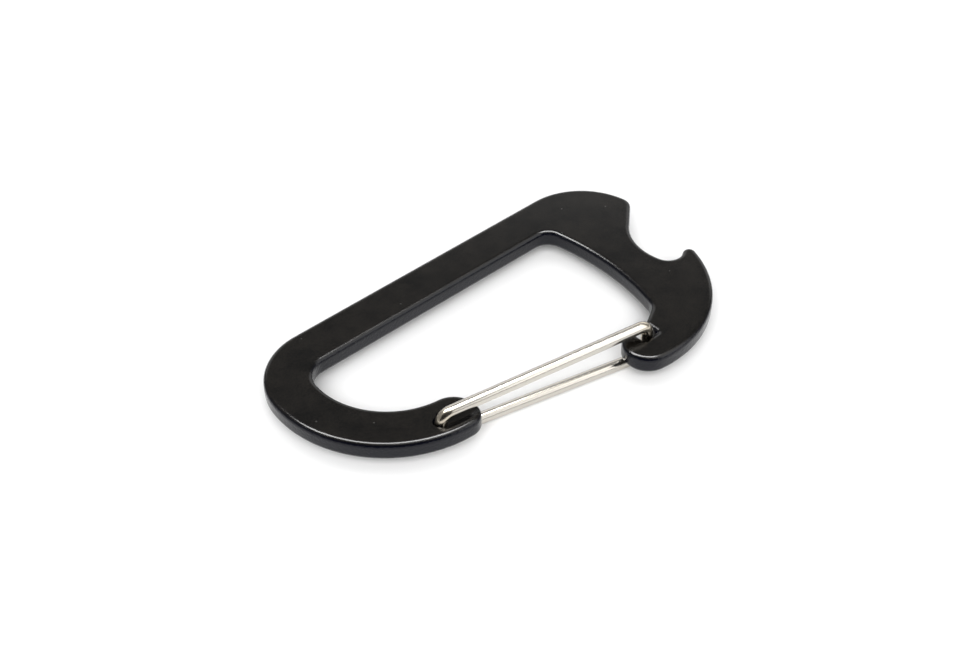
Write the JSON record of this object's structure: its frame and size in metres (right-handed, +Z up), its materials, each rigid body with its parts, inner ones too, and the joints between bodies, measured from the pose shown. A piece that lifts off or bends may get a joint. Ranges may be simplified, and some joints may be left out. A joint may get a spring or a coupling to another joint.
{
  "type": "carabiner bottle opener",
  "caption": "Flat black carabiner with a sprung wire gate and a crown-cap opener notch in its large end.",
  "frame": {"origin": "middle of the plate's own box, on the plate's middle plane", "axes": "+X along the spine from the small end to the opener end, +Y from the gate to the spine, +Z up out of the plate's upper face"},
  "size_m": [0.08, 0.045, 0.0088],
  "materials": {
    "black_coating": "satin black anodised aluminium plate with rounded, slightly glossier edges",
    "nickel_wire": "polished nickel-plated spring steel wire with faint drawing lines"
  },
  "bodies": {
    "frame": {"body": "black_coating"},
    "gate": {"wire_gate": "nickel_wire"}
  },
  "joints": [
    {"name": "gate_hinge", "type": "hinge", "parent": "frame", "child": "gate", "pos_m": [-0.0229, -0.00906, 0], "axis": [0, 0, 1], "range_deg": [0, 30], "stiffness_Nm_per_rad": 0.2, "springref_deg": -14.32}
  ]
}
